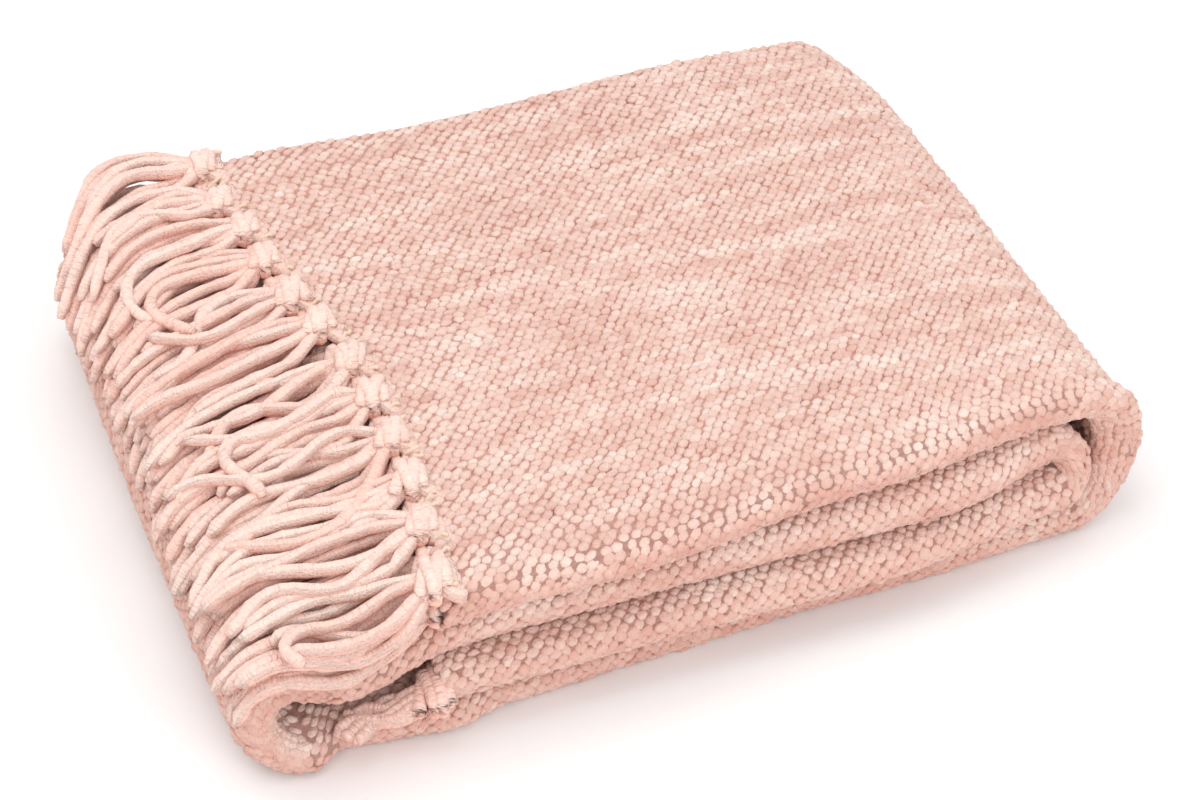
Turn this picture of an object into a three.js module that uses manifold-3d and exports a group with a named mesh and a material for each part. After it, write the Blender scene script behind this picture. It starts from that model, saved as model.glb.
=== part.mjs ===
// A fringed chenille throw blanket, folded and lying flat. Millimetres, +Z up.
// The cloth is folded in thirds along its length, so that one clean fold runs along the front,
// and the long strip that makes is rolled over three times: it starts inside, at its second fringed end,
// and finishes on top, where the first fringed end lies back over the left turn.
// X runs along the front from the left turn to the right turn, and Y from the front to the back.
import * as THREE from "three";
import { mergeVertices } from "three/addons/utils/BufferGeometryUtils.js";
import Module from "manifold-3d";

const wasm = await Module();
wasm.setup();
const { lerp, clamp, smoothstep } = THREE.MathUtils;

// Driving dimensions of the cloth and of its folds.
const SHEET = 6.8; // thickness of the chenille cloth
const SHEET_GAP = 1.5; // air between two sheets of the folded strip
const STRIP_GAP = 1.8; // air between two layers of the rolled strip
const DEPTH = 409; // front fold to back fold, a third of the 1.2 m width
const TOP_END_X = 99; // the fringed end that lies on top
const INSIDE_END_X = 93; // the fringed end that lies inside the left turn
const OUTER_EDGE_INSET = 14; // the outer sheet's raw edge, from the back
const INNER_EDGE_INSET = 26; // the inner sheet's raw edge, from the front
const PIECE_GAP = 0.3; // between a tassel and the cloth that it is knotted from

// Sizes that follow.
const SHEET_PITCH = SHEET + SHEET_GAP;
const STRIP = 3 * SHEET + 2 * SHEET_GAP;
const HALF_STRIP = STRIP / 2;
const LAYER_PITCH = STRIP + STRIP_GAP;

// The front edge of each layer, as it lies: how far it is set back at a few places along it.
const TOP_FRONT = [
  { x: 190, back: -3 },
  { x: 335, back: 11.5 },
  { x: 480, back: 26 },
];
const SECOND_FRONT = [
  { x: 380, back: 4 },
  { x: 480, back: 25 },
];
const THIRD_FRONT = [
  { x: 340, back: -7 },
  { x: 480, back: 11 },
];
const BOTTOM_FRONT = [
  { x: 21, back: -8 },
  { x: 40, back: 2 },
  { x: 70, back: -1 },
  { x: 100, back: -5 },
  { x: 130, back: 3 },
  { x: 235, back: 7 },
  { x: 300, back: 11 },
  { x: 370, back: 11 },
  { x: 480, back: 17 },
];

// The four layers of the strip. outside: 1 where the outside of the roll faces up.
// stops: where along the layer the solid has its sections. keep: thickness kept at the front edge.
const EVEN_STOPS = [0.2, 0.4, 0.6, 0.8, 1];
const SECOND_STOPS = [0.07, 0.16, 0.3, 0.6, 0.83, 1];
const BOTTOM_STOPS = [0.2, 0.4, 0.65, 0.83, 1];
const heightOf = (layersBelow) => HALF_STRIP + layersBelow * LAYER_PITCH;
const LAYERS = {
  top: { z: heightOf(3), outside: 1, front: TOP_FRONT, keep: 0.66, stops: EVEN_STOPS },
  second: { z: heightOf(2), outside: 1, front: SECOND_FRONT, keep: 0.85, stops: SECOND_STOPS },
  third: { z: heightOf(1), outside: -1, front: THIRD_FRONT, keep: 0.85, stops: EVEN_STOPS },
  bottom: { z: heightOf(0), outside: -1, front: BOTTOM_FRONT, keep: 0.8, stops: BOTTOM_STOPS },
};

// The turns between them. x: centre of the turn. tuck: how far its front is set back beyond the layers'.
// loft: how much its loose front swells inwards, as a share of the strip's thickness.
const RIGHT_TURN = { from: LAYERS.top, to: LAYERS.bottom, x: 477, steps: 8, tuck: 3, loft: 0.7 };
const LEFT_TURN = { from: LAYERS.bottom, to: LAYERS.second, x: 21, steps: 7, tuck: 2, loft: 0 };
const INNER_TURN = { from: LAYERS.second, to: LAYERS.third, x: 464, steps: 6, tuck: 3, loft: 0 };

// Soft cloth droops at the front and back edges of each layer.
const FRONT_DROOP_OVER = 40;
const BACK_DROOP_OVER = 34;
const BACK_KEEP = 0.95;

// How the whole stack has settled: its crown, and two humps at the back.
const STACK_FROM_X = -10;
const STACK_LENGTH = 535;
const CROWN = 0.07;
const HUMPS = [
  { rise: 0.06, x: 385, y: 370, reach: 90 },
  { rise: 0.05, x: 120, y: 400, reach: 50 },
];
// The right turn flares at the front and is rounded off at the back.
const RIGHT_TAPER = 18;
const FLARE = { depth: 48, share: 0.2 };
const BACK_ROUNDING = { by: 13, from: 330 };
// The left turn bulges a little, as far along as it is loose.
const LEFT_BULGE = 3;
const LEFT_BULGE_TO_X = 80;
// Front left, where nothing lies inside the turn, the layers above sink in.
const HOLLOW = { drop: 20, x: 48, reach: 34, back: 33, fromZ: 18, toZ: 50 };

// The strip's section: u runs from the front fold to the back fold, and v out of the roll.
// The outer sheet folds under at the front, and the under sheet folds up at the back, so that
// one raw edge lies inside.
const FRONT_ARC_STEPS = 7;
const BACK_ARC_STEPS = 5;
const PANEL_STOPS = [0, 0.07, 0.2, 0.5, 0.85, 0.95, 1]; // closer near the folds, where the cloth droops

// Points of the line down the middle of the cloth, with the direction of the cloth's outer face at each.
function middleLine() {
  const points = [];
  const panel = (fromU, toU, v, faces) =>
    PANEL_STOPS.forEach((t) => points.push({ u: lerp(fromU, toU, t), v, faceU: 0, faceV: faces }));
  const fold = (centreU, centreV, radius, side, steps) => {
    for (let i = 1; i < steps; i++) {
      const faceU = -side * Math.sin((Math.PI * i) / steps);
      const faceV = side * Math.cos((Math.PI * i) / steps);
      points.push({ u: centreU + radius * faceU, v: centreV + radius * faceV, faceU, faceV });
    }
  };
  const frontU = SHEET_PITCH + SHEET / 2;
  const backU = DEPTH - SHEET_PITCH / 2 - SHEET / 2;
  panel(DEPTH - OUTER_EDGE_INSET, frontU, SHEET_PITCH, 1);
  fold(frontU, 0, SHEET_PITCH, 1, FRONT_ARC_STEPS);
  panel(frontU, backU, -SHEET_PITCH, -1);
  fold(backU, -SHEET_PITCH / 2, SHEET_PITCH / 2, -1, BACK_ARC_STEPS);
  panel(backU, INNER_EDGE_INSET, 0, 1);
  return points;
}

function stripSection() {
  const line = middleLine();
  const face = (half) => line.map((p) => new THREE.Vector2(p.u + half * p.faceU, p.v + half * p.faceV));
  return new THREE.Shape([...face(SHEET / 2), ...face(-SHEET / 2).reverse()]);
}

// How far a layer's front edge is set back at a place along it.
function setBack({ front }, x) {
  const after = front.findIndex((place) => place.x >= x);
  if (after === 0) return front[0].back;
  if (after < 0) return front.at(-1).back;
  const [a, b] = [front[after - 1], front[after]];
  return lerp(a.back, b.back, smoothstep(x, a.x, b.x));
}

// Sections of the roll, from the top fringed end to the inside one.
function layerStation(layer, x) {
  const { z, outside, keep } = layer;
  return { x, z, outX: 0, outZ: outside, outside, keep, front: setBack(layer, x) };
}

function layerStations(layer, fromX, toX) {
  const stations = [];
  layer.stops.forEach((stop) => {
    stations.push(layerStation(layer, lerp(fromX, toX, stop)));
  });
  return stations;
}

function turnStations({ from, to, x, steps, tuck, loft }) {
  const radius = (from.z - to.z) / 2;
  const stations = [];
  for (let i = 1; i <= steps; i++) {
    const t = i / steps;
    const outX = Math.sign(radius) * Math.sin(Math.PI * t);
    const outZ = from.outside * Math.cos(Math.PI * t);
    const middle = Math.sin(Math.PI * t);
    stations.push({
      x: x + Math.abs(radius) * outX,
      z: (from.z + to.z) / 2 + Math.abs(radius) * outZ,
      outX,
      outZ,
      outside: lerp(from.outside, to.outside, smoothstep(t, 0, 1)) - (loft > 0 ? middle : 0),
      keep: lerp(from.keep, to.keep, t) + loft * middle,
      front: lerp(setBack(from, x), setBack(to, x), t) + tuck * middle,
    });
  }
  return stations;
}

function rollStations() {
  const { top, second, third, bottom } = LAYERS;
  return [
    layerStation(top, TOP_END_X),
    ...layerStations(top, TOP_END_X, RIGHT_TURN.x),
    ...turnStations(RIGHT_TURN),
    ...layerStations(bottom, RIGHT_TURN.x, LEFT_TURN.x),
    ...turnStations(LEFT_TURN),
    ...layerStations(second, LEFT_TURN.x, INNER_TURN.x),
    ...turnStations(INNER_TURN),
    ...layerStations(third, INNER_TURN.x, INSIDE_END_X),
  ];
}

function thicknessKept(u, keep) {
  const rounded = (t) => Math.sin((Math.PI / 2) * clamp(t, 0, 1));
  const front = lerp(keep, 1, rounded(u / FRONT_DROOP_OVER));
  const back = lerp(BACK_KEEP, 1, rounded((DEPTH - u) / BACK_DROOP_OVER));
  return front * back;
}

const frontShift = (front, u) => front * (1 - clamp(u / DEPTH, 0, 1)) ** 2;

// The whole stack settles as one, so what lies apart stays apart.
function settle({ x, y, z }) {
  const across = clamp((x - STACK_FROM_X) / STACK_LENGTH, 0, 1);
  const deep = clamp(y / DEPTH, 0, 1);
  const dome = (t) => 1 - (2 * t - 1) ** 2;
  let rise = 1 + CROWN * dome(across) * dome(deep);
  HUMPS.forEach((hump) => {
    const away = ((x - hump.x) ** 2 + (y - hump.y) ** 2) / hump.reach ** 2;
    rise += hump.rise * Math.exp(-away);
  });
  const taper = RIGHT_TAPER * (smoothstep(y, 0, FLARE.depth) - FLARE.share);
  const rounding = BACK_ROUNDING.by * smoothstep(y, BACK_ROUNDING.from, DEPTH);
  const loose = 1 - smoothstep(x, STACK_FROM_X, LEFT_BULGE_TO_X);
  const bulge = LEFT_BULGE * loose * Math.sin(Math.PI * deep);
  const hollow = Math.exp(-(((x - HOLLOW.x) / HOLLOW.reach) ** 2) - (Math.max(y, 0) / HOLLOW.back) ** 2);
  const drop = HOLLOW.drop * hollow * smoothstep(z, HOLLOW.fromZ, HOLLOW.toZ);
  return new THREE.Vector3(x - (taper + rounding) * across ** 3 - bulge, y, z * rise - drop);
}

// Moves every vertex of a geometry.
function moved(geometry, place) {
  const position = geometry.getAttribute("position");
  const v = new THREE.Vector3();
  for (let i = 0; i < position.count; i++) {
    const to = place(v.fromBufferAttribute(position, i));
    position.setXYZ(i, to.x, to.y, to.z);
  }
  geometry.computeVertexNormals();
  return geometry;
}

// A section extruded straight, with its steps one apart, so that each step can be laid in its place.
const extrudedSteps = (section, steps) =>
  new THREE.ExtrudeGeometry(section, { steps, depth: steps, bevelEnabled: false });

function polygon(sides, radius, startDegrees) {
  const corners = Array.from({ length: sides }, (_, i) => {
    const angle = THREE.MathUtils.degToRad(startDegrees + (360 * i) / sides);
    return new THREE.Vector2(radius * Math.cos(angle), radius * Math.sin(angle));
  });
  return new THREE.Shape(corners);
}

// The cloth: the section is extruded straight, then each of its steps is laid on the roll.
function clothGeometry() {
  const stations = rollStations();
  const steps = stations.length - 1;
  const straight = extrudedSteps(stripSection(), steps);
  return moved(straight, ({ x: u, y: v, z: step }) => {
    const at = stations[Math.round(step)];
    const still = -HALF_STRIP * at.outside; // the side of the strip that stays where it is
    const out = still + (v - still) * thicknessKept(u, at.keep);
    return settle({ x: at.x + out * at.outX, y: u + frontShift(at.front, u), z: at.z + out * at.outZ });
  });
}

// manifold-3d joins the strands of a tassel to its knot.
function solidOf(geometry) {
  const bare = geometry.clone();
  bare.deleteAttribute("normal");
  bare.deleteAttribute("uv");
  const merged = mergeVertices(bare, 1e-3);
  return new wasm.Manifold(new wasm.Mesh({
    numProp: 3,
    vertProperties: Float32Array.from(merged.getAttribute("position").array),
    triVerts: Uint32Array.from(merged.index.array),
  }));
}

function joined(geometries) {
  const mesh = geometries.map(solidOf).reduce((a, b) => a.add(b)).getMesh();
  const geometry = new THREE.BufferGeometry();
  geometry.setAttribute("position", new THREE.BufferAttribute(mesh.vertProperties, 3));
  geometry.setIndex(new THREE.BufferAttribute(mesh.triVerts, 1));
  return geometry;
}

// Tassels. Each gathers the yarn ends of one pitch of the cloth's end into a knot.
const TASSELS_PER_PANEL = 12;
const TASSEL_PITCH = DEPTH / TASSELS_PER_PANEL;
// along: distance from the cloth's end. wide, tall: half sizes.
// to: 0 at the cloth's height, 1 at the knot's.
const KNOT = [
  { along: 0, wide: 8.6, tall: 2.2, to: 0 },
  { along: 4, wide: 5.6, tall: 2.6, to: 0.5 },
  { along: 7.5, wide: 8, tall: 6, to: 1 },
  { along: 13, wide: 8.4, tall: 6.4, to: 1 },
  { along: 17.5, wide: 5.4, tall: 3.6, to: 1 },
];
const STRANDS_FROM = 10.5; // where the strands start inside the knot
const FRINGE = 106; // knot to tip
const STRAND = 3.1; // from the middle of a strand to its corners
const STRAND_STOPS = [0.03, 0.25, 0.6, 0.8, 1]; // closer where it comes down round the turn
const FAN_OVER = 26; // distance from the knot in which the strands spread out
const HALF_FAN = TASSEL_PITCH / 2 - STRAND;
const FAN_AT_KNOT = 0.45; // share of the fan that a strand has already as it leaves the knot
const LEAN = { front: 10, back: 45 }; // how far the tips lean forwards, at either end of the row
const LEAN_CURVE = 1.5; // over 1, they lean more towards their tips
const LENGTH = { middle: 0.91, uneven: 0.09 }; // shares of the fringe
// The last tassels are fluffed up: how high and how far back their strands arch, on the upper row.
const FLUFF = { up: 16, back: 18, from: 250 };
const SECOND_TOP = LAYERS.second.z + HALF_STRIP;

// The rows of the top end, one for each sheet of the strip. knotZ: height of the knots.
// phase: their place in a pitch. fluff: their share of the fluffing up.
// spread: a strand's place across the pitch, from -1 to 1. lift: its height over the second layer.
const ROWS = [
  {
    name: "upper", count: 12, sheet: 1, knotZ: SECOND_TOP + 25, phase: 0.5, fluff: 1,
    strands: [
      { spread: -0.88, lift: 15.6 },
      { spread: -0.3, lift: 15.6 },
      { spread: 0.3, lift: 15.6 },
      { spread: 0.88, lift: 15.6 },
      { spread: -0.55, lift: 21.6 },
      { spread: 0.5, lift: 21.6 },
    ],
  },
  {
    name: "middle", count: 11, sheet: 0, knotZ: SECOND_TOP + 15.4, phase: 1, fluff: 0.5,
    strands: [
      { spread: -0.72, lift: 9.4 },
      { spread: 0, lift: 9.4 },
      { spread: 0.72, lift: 9.4 },
    ],
  },
  {
    name: "lower", count: 12, sheet: -1, knotZ: SECOND_TOP + 7.6, phase: 0.5, fluff: 0,
    strands: [
      { spread: -0.7, lift: 3.4 },
      { spread: 0, lift: 3.4 },
      { spread: 0.7, lift: 3.4 },
    ],
  },
];

// The same small number for the same indices, between -1 and 1.
function uneven(i, j) {
  const s = Math.sin(12.9898 * (i + 1) + 78.233 * (j + 1)) * 43758.5453;
  return 2 * (s - Math.floor(s)) - 1;
}

// Where a strand lies at a distance from its knot: over the second layer, then down round the left turn.
function drape(startX, along, lift) {
  const flat = startX - LEFT_TURN.x;
  const radius = SECOND_TOP - LAYERS.third.z + lift;
  if (along <= flat) return { x: startX - along, z: LAYERS.third.z + radius };
  const angle = (along - flat) / radius;
  return { x: LEFT_TURN.x - radius * Math.sin(angle), z: LAYERS.third.z + radius * Math.cos(angle) };
}

// A strand has three sides and lies on one of them. Each ring stands square to the line of the strand.
function strandGeometry(points, radius) {
  const steps = points.length - 1;
  return moved(extrudedSteps(polygon(3, radius, 90), steps), ({ x: side, y: up, z: step }) => {
    const k = Math.round(step);
    const before = points[Math.max(k - 1, 0)];
    const after = points[Math.min(k + 1, steps)];
    const along = after.clone().sub(before).setY(0).normalize();
    return points[k].clone().add(new THREE.Vector3(up * along.z, -side, -up * along.x));
  });
}

// A knot with the yarn ends that hold it: six sided rings, one for each row of the table.
function knotGeometry(x, y, z, neckZ, rings) {
  return moved(extrudedSteps(polygon(6, 1, 0), rings.length - 1), ({ x: side, y: up, z: step }) => {
    const ring = rings[Math.round(step)];
    const height = lerp(neckZ, z, ring.to) + up * ring.tall;
    return new THREE.Vector3(x - ring.along, y - side * ring.wide, height);
  });
}

function topTassel(row, rowIndex, i) {
  const y = (i + row.phase) * TASSEL_PITCH;
  const endX = TOP_END_X - PIECE_GAP;
  const knotX = endX - STRANDS_FROM;
  const neckZ = LAYERS.top.z + row.sheet * SHEET_PITCH;
  const strands = row.strands.map((strand, j) => {
    const length = FRINGE * (LENGTH.middle + LENGTH.uneven * uneven(i + 31 * rowIndex, j));
    const points = STRAND_STOPS.map((stop) => {
      const along = length * stop;
      const fan = smoothstep(along, 0, FAN_OVER);
      const at = drape(knotX, along, strand.lift);
      const lean = lerp(LEAN.front, LEAN.back, y / DEPTH) * (along / FRINGE) ** LEAN_CURVE;
      const arch = Math.sin(Math.PI * clamp(along / FRINGE, 0, 1));
      const fluff = row.fluff * arch * smoothstep(y, FLUFF.from, DEPTH);
      const aside = HALF_FAN * strand.spread * lerp(FAN_AT_KNOT, 1, fan) - lean + FLUFF.back * fluff;
      return new THREE.Vector3(at.x, y + aside, lerp(row.knotZ, at.z, fan) + FLUFF.up * fluff);
    });
    return strandGeometry(points, STRAND);
  });
  const whole = joined([knotGeometry(endX, y, row.knotZ, neckZ, KNOT), ...strands]);
  const front = setBack(LAYERS.top, TOP_END_X);
  return moved(whole, (at) => settle({ x: at.x, y: at.y + frontShift(front, at.y), z: at.z }));
}

// The inside end, pressed flat in the left turn: one row for each sheet, on a narrow strip of its end.
const INSIDE_STRIP = { length: 4, thick: 4 };
const INSIDE_KNOT = [
  { along: 2, wide: 6, tall: 2.4, to: 0 },
  { along: 9, wide: 8, tall: 3.6, to: 0 },
  { along: 16, wide: 5, tall: 2.6, to: 0 },
];
const INSIDE_FRINGE = 56;
const INSIDE_SPREAD = 6;
const INSIDE_STRAND = 2.9;
const INSIDE_STOPS = [0.03, 1];
const INSIDE_LENGTH = { middle: 0.92, uneven: 0.08 }; // shares of the inside fringe
const INSIDE_SIDE_MARGIN = 42;

function insideRow(sheet) {
  const z = LAYERS.third.z + sheet * SHEET_PITCH;
  const endX = INSIDE_END_X - PIECE_GAP;
  const width = DEPTH - 2 * INSIDE_SIDE_MARGIN;
  const strip = new THREE.BoxGeometry(INSIDE_STRIP.length, width, INSIDE_STRIP.thick);
  const parts = [strip.translate(endX - INSIDE_STRIP.length / 2, DEPTH / 2, z)];
  for (let i = 1; i < TASSELS_PER_PANEL - 1; i++) {
    const y = (i + 0.5) * TASSEL_PITCH;
    parts.push(knotGeometry(endX, y, z, z, INSIDE_KNOT));
    [-1, 1].forEach((side) => {
      const share = INSIDE_LENGTH.middle + INSIDE_LENGTH.uneven * uneven(i + 7 * sheet, side);
      const length = INSIDE_FRINGE * share;
      const points = INSIDE_STOPS.map((t) => {
        const across = y + side * INSIDE_SPREAD * (0.5 + t);
        return new THREE.Vector3(endX - STRANDS_FROM - t * length, across, z);
      });
      parts.push(strandGeometry(points, INSIDE_STRAND));
    });
  }
  const front = setBack(LAYERS.third, INSIDE_END_X);
  return moved(joined(parts), (at) => settle({ x: at.x, y: at.y + frontShift(front, at.y), z: at.z }));
}

// Blush chenille: one material for the cloth and one for the cut yarn of the fringe.
const blush = new THREE.MeshStandardMaterial({ color: 0xe8bcac, roughness: 0.95, metalness: 0 });
const fringeBlush = new THREE.MeshStandardMaterial({ color: 0xefc3b3, roughness: 0.95, metalness: 0 });

function named(name, geometry, material) {
  const mesh = new THREE.Mesh(geometry, material);
  mesh.name = name;
  return mesh;
}

const blanket = new THREE.Group();
blanket.add(named("cloth", clothGeometry(), blush));
ROWS.forEach((row, r) => {
  for (let i = 0; i < row.count; i++)
    blanket.add(named(`tassel_${row.name}_${i + 1}`, topTassel(row, r, i), fringeBlush));
});
[["outer", -1], ["middle", 0], ["under", 1]].forEach(([name, sheet]) =>
  blanket.add(named(`inside_fringe_${name}`, insideRow(sheet), fringeBlush)));

// The origin is under the middle of the stack, on the surface that it lies on.
const box = new THREE.Box3().setFromObject(blanket);
const middle = box.getCenter(new THREE.Vector3());
blanket.position.set(-middle.x, -middle.y, -box.min.z);

export default blanket;
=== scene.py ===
import math

import bmesh
import bpy
import numpy as np
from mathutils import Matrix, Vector


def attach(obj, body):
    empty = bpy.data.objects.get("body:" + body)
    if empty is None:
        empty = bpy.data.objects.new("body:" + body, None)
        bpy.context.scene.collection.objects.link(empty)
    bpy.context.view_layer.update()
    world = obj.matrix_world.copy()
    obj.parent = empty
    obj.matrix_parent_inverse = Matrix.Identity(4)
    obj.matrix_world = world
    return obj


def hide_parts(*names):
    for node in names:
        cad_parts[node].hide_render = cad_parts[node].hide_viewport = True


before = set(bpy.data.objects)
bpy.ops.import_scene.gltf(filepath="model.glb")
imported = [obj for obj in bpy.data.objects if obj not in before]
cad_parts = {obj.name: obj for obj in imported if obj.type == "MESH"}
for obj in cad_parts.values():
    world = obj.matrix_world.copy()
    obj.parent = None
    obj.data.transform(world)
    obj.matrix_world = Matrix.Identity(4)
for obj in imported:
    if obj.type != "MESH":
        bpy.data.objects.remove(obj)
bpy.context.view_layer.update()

# THE FOLDED CLOTH
# One rectangle of chenille, 1.2 m by 1.9 m, woven from thick pile yarn. It is folded in thirds along
# its length, so that one fold runs along the front, and the strip that makes is rolled over three times.
ORIGIN_X = -0.248517  # the left turn's centre line is 21 mm from here
ORIGIN_Y = -0.201021  # the front fold
SHEET = 0.0068  # thickness, with its pile
SHEET_PITCH = 0.0083  # from one sheet of the strip to the next
HALF_STRIP = 0.0117
LAYER_PITCH = 0.0252  # from one layer of the roll to the next
DEPTH = 0.409  # front fold to back fold
TOP_END_X = 0.099  # the fringed end that lies on top
INSIDE_END_X = 0.093  # the fringed end that lies inside the left turn
OUTER_EDGE_INSET = 0.014
INNER_EDGE_INSET = 0.026

# The front edge of each layer, as it lies: places along it, and how far it is set back there.
TOP_FRONT = [(0.19, -0.003), (0.335, 0.0115), (0.48, 0.026)]
SECOND_FRONT = [(0.38, 0.004), (0.48, 0.025)]
THIRD_FRONT = [(0.34, -0.007), (0.48, 0.011)]
BOTTOM_FRONT = [
    (0.021, -0.008), (0.04, 0.002), (0.07, -0.001), (0.1, -0.005), (0.13, 0.003),
    (0.235, 0.007), (0.3, 0.011), (0.37, 0.011), (0.48, 0.017),
]
# The fringed end on top isn't straight: places from front to back, and how far it lies to the right there.
TOP_END = [
    (0.0, 0.002), (0.03, 0.008), (0.08, 0.016), (0.12, 0.018), (0.16, 0.018), (0.2, 0.015),
    (0.24, 0.006), (0.27, -0.001), (0.33, -0.004), (0.355, -0.012), (0.38, -0.018), (0.41, -0.004),
]
TOP_END_FADE = 0.25  # the rest of the layer gives way over this length
# keep is how much of its thickness a layer keeps at the front edge.
LAYERS = {
    "top": {"z": HALF_STRIP + 3 * LAYER_PITCH, "outside": 1, "front": TOP_FRONT, "keep": 0.66},
    "second": {"z": HALF_STRIP + 2 * LAYER_PITCH, "outside": 1, "front": SECOND_FRONT, "keep": 0.85},
    "third": {"z": HALF_STRIP + LAYER_PITCH, "outside": -1, "front": THIRD_FRONT, "keep": 0.85},
    "bottom": {"z": HALF_STRIP, "outside": -1, "front": BOTTOM_FRONT, "keep": 0.8},
}
ROLL_STEP = 0.002


def smooth(t):
    t = np.clip(t, 0, 1)
    return t * t * (3 - 2 * t)


def blend(a, b, t):
    return a + (b - a) * t


def set_back(layer, x):
    places = layer["front"]
    if x <= places[0][0]:
        return places[0][1]
    for (start_x, start_back), (end_x, end_back) in zip(places, places[1:]):
        if x <= end_x:
            return blend(start_back, end_back, smooth((x - start_x) / (end_x - start_x)))
    return places[-1][1]


def top_end_shift(y):
    places, shifts = zip(*TOP_END)
    return sum(np.interp(y + near, places, shifts) for near in (-0.012, 0, 0.012)) / 3


# Rows are along, x, z, out x, out z, outside, keep, front.
roll_rows = []


def roll_layer(name, start_x, end_x):
    layer = LAYERS[name]
    start = roll_rows[-1][0] if roll_rows else 0
    steps = round(abs(end_x - start_x) / ROLL_STEP)
    for i in range(0 if start == 0 else 1, steps + 1):
        x = blend(start_x, end_x, i / steps)
        along = start + abs(x - start_x)
        outside = layer["outside"]
        roll_rows.append((along, x, layer["z"], 0, outside, outside, layer["keep"], set_back(layer, x)))


def roll_turn(upper, lower, x, tuck, loft):
    """A turn of the roll. loft is how far its loose front swells inwards, in thicknesses of the strip."""
    first, last = LAYERS[upper], LAYERS[lower]
    radius = (first["z"] - last["z"]) / 2
    middle_z = (first["z"] + last["z"]) / 2
    start = roll_rows[-1][0]
    steps = round(math.pi * abs(radius) / ROLL_STEP)
    for i in range(1, steps + 1):
        t = i / steps
        out_x = math.copysign(1, radius) * math.sin(math.pi * t)
        out_z = first["outside"] * math.cos(math.pi * t)
        middle = math.sin(math.pi * t)
        front = blend(set_back(first, x), set_back(last, x), t) + tuck * middle
        roll_rows.append((
            start + math.pi * abs(radius) * t,
            x + abs(radius) * out_x,
            middle_z + abs(radius) * out_z,
            out_x,
            out_z,
            blend(first["outside"], last["outside"], smooth(t)) - (middle if loft > 0 else 0),
            blend(first["keep"], last["keep"], t) + loft * middle,
            front,
        ))


RIGHT_TURN_X = 0.477
LEFT_TURN_X = 0.021
INNER_TURN_X = 0.464
roll_layer("top", TOP_END_X, RIGHT_TURN_X)
top_end = roll_rows[-1][0]
roll_turn("top", "bottom", RIGHT_TURN_X, 0.003, 0.85)
right_end = roll_rows[-1][0]
roll_layer("bottom", RIGHT_TURN_X, LEFT_TURN_X)
bottom_end = roll_rows[-1][0]
roll_turn("bottom", "second", LEFT_TURN_X, 0.002, 0)
left_end = roll_rows[-1][0]
roll_layer("second", LEFT_TURN_X, INNER_TURN_X)
second_end = roll_rows[-1][0]
roll_turn("second", "third", INNER_TURN_X, 0.003, 0)
inner_end = roll_rows[-1][0]
roll_layer("third", INNER_TURN_X, INSIDE_END_X)
roll = np.array(roll_rows).T
roll_length = roll[0][-1]

# The strip's section. Rows are across, u, v, and the direction of the cloth's outer face.
ARC_STEPS = 24
front_u = SHEET_PITCH + SHEET / 2
back_u = DEPTH - SHEET_PITCH / 2 - SHEET / 2
strip_rows = []


def strip_panel(start_u, end_u, v, faces):
    start = strip_rows[-1][0] if strip_rows else 0
    if not strip_rows:
        strip_rows.append((0, start_u, v, 0, faces))
    strip_rows.append((start + abs(end_u - start_u), end_u, v, 0, faces))


def strip_fold(centre_u, centre_v, radius, side):
    start = strip_rows[-1][0]
    for i in range(1, ARC_STEPS + 1):
        turn = math.pi * i / ARC_STEPS
        face_u = -side * math.sin(turn)
        face_v = side * math.cos(turn)
        u = centre_u + radius * face_u
        v = centre_v + radius * face_v
        strip_rows.append((start + radius * turn, u, v, face_u, face_v))


strip_panel(DEPTH - OUTER_EDGE_INSET, front_u, SHEET_PITCH, 1)
outer_end = strip_rows[-1][0]
strip_fold(front_u, 0, SHEET_PITCH, 1)
front_end = strip_rows[-1][0]
strip_panel(front_u, back_u, -SHEET_PITCH, -1)
under_end = strip_rows[-1][0]
strip_fold(back_u, -SHEET_PITCH / 2, SHEET_PITCH / 2, -1)
back_end = strip_rows[-1][0]
strip_panel(back_u, INNER_EDGE_INSET, 0, 1)
strip = np.array(strip_rows).T
strip_width = strip[0][-1]

# The stack settles as one: its crown and its two humps at the back, the right turn that flares at the front,
# its bulging left side, and the front left corner, where nothing lies inside the turn.
FRONT_DROOP_OVER = 0.04
BACK_DROOP_OVER = 0.034
BACK_KEEP = 0.95
STACK_FROM_X = -0.01
STACK_LENGTH = 0.535
CROWN = 0.07
HUMPS = [
    {"rise": 0.06, "x": 0.385, "y": 0.37, "reach": 0.09},
    {"rise": 0.05, "x": 0.12, "y": 0.4, "reach": 0.05},
]
RIGHT_TAPER = 0.018
FLARE = {"depth": 0.048, "share": 0.2}
BACK_ROUNDING = {"by": 0.013, "start": 0.33}
SAG = {"drop": 0.006, "x": 0.488, "reach": 0.03, "back": 0.03, "from_z": 0.072, "to_z": 0.088}
LEFT_BULGE = 0.003
LEFT_BULGE_TO_X = 0.08
HOLLOW = {"drop": 0.02, "x": 0.048, "reach": 0.034, "back": 0.033, "from_z": 0.018, "to_z": 0.05}


def thickness_kept(u, keep):
    front = blend(keep, 1, np.sin(math.pi / 2 * np.clip(u / FRONT_DROOP_OVER, 0, 1)))
    back = blend(BACK_KEEP, 1, np.sin(math.pi / 2 * np.clip((DEPTH - u) / BACK_DROOP_OVER, 0, 1)))
    return front * back


def front_shift(front, u):
    return front * (1 - np.clip(u / DEPTH, 0, 1)) ** 2


def sunk(form, x, y, z):
    """How far a point of the upper layers drops where the front of the stack is hollow."""
    near = np.exp(-(((x - form["x"]) / form["reach"]) ** 2) - (np.maximum(y, 0) / form["back"]) ** 2)
    return form["drop"] * near * smooth((z - form["from_z"]) / (form["to_z"] - form["from_z"]))


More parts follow.
